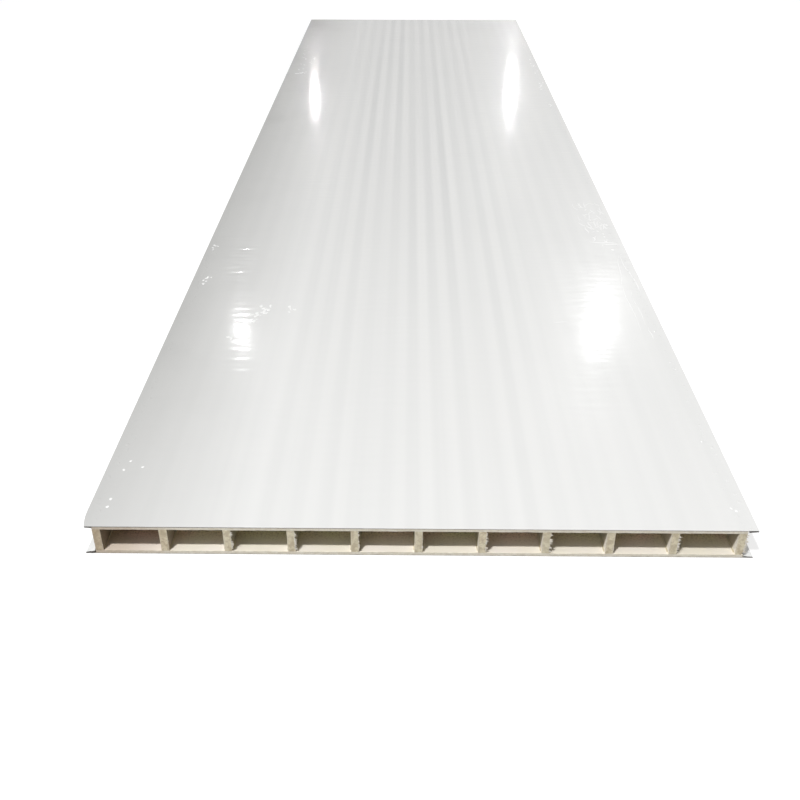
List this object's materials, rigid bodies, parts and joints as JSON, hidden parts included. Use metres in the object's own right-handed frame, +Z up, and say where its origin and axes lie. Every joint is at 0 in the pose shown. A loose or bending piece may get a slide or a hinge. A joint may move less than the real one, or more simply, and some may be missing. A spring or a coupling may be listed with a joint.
{
  "type": "hollow magnesium oxide sandwich panel",
  "caption": "Flat hollow wall and ceiling panel: painted steel sheets over magnesium oxide boards held apart by ribs, with recessed long edges for a joining profile.",
  "frame": {"origin": "middle of the underside, on the floor", "axes": "+Y along the length, +X across the width, +Z up out of the film-covered face"},
  "size_m": [0.98, 3.8, 0.0501],
  "materials": {
    "painted_steel": "white prepainted steel, satin gloss",
    "magnesium_oxide": "matte cream-grey mineral board, sawn ends",
    "film": "milky glossy protective film with bubbles and creases"
  },
  "bodies": {
    "root": {"top_face_sheet": "painted_steel", "bottom_face_sheet": "painted_steel", "top_board": "magnesium_oxide", "bottom_board": "magnesium_oxide", "edge_rib_left": "magnesium_oxide", "edge_rib_right": "magnesium_oxide", "rib_1": "magnesium_oxide", "rib_2": "magnesium_oxide", "rib_3": "magnesium_oxide", "rib_4": "magnesium_oxide", "rib_5": "magnesium_oxide", "rib_6": "magnesium_oxide", "rib_7": "magnesium_oxide", "rib_8": "magnesium_oxide", "rib_9": "magnesium_oxide", "protective_film": "film"}
  },
  "joints": []
}
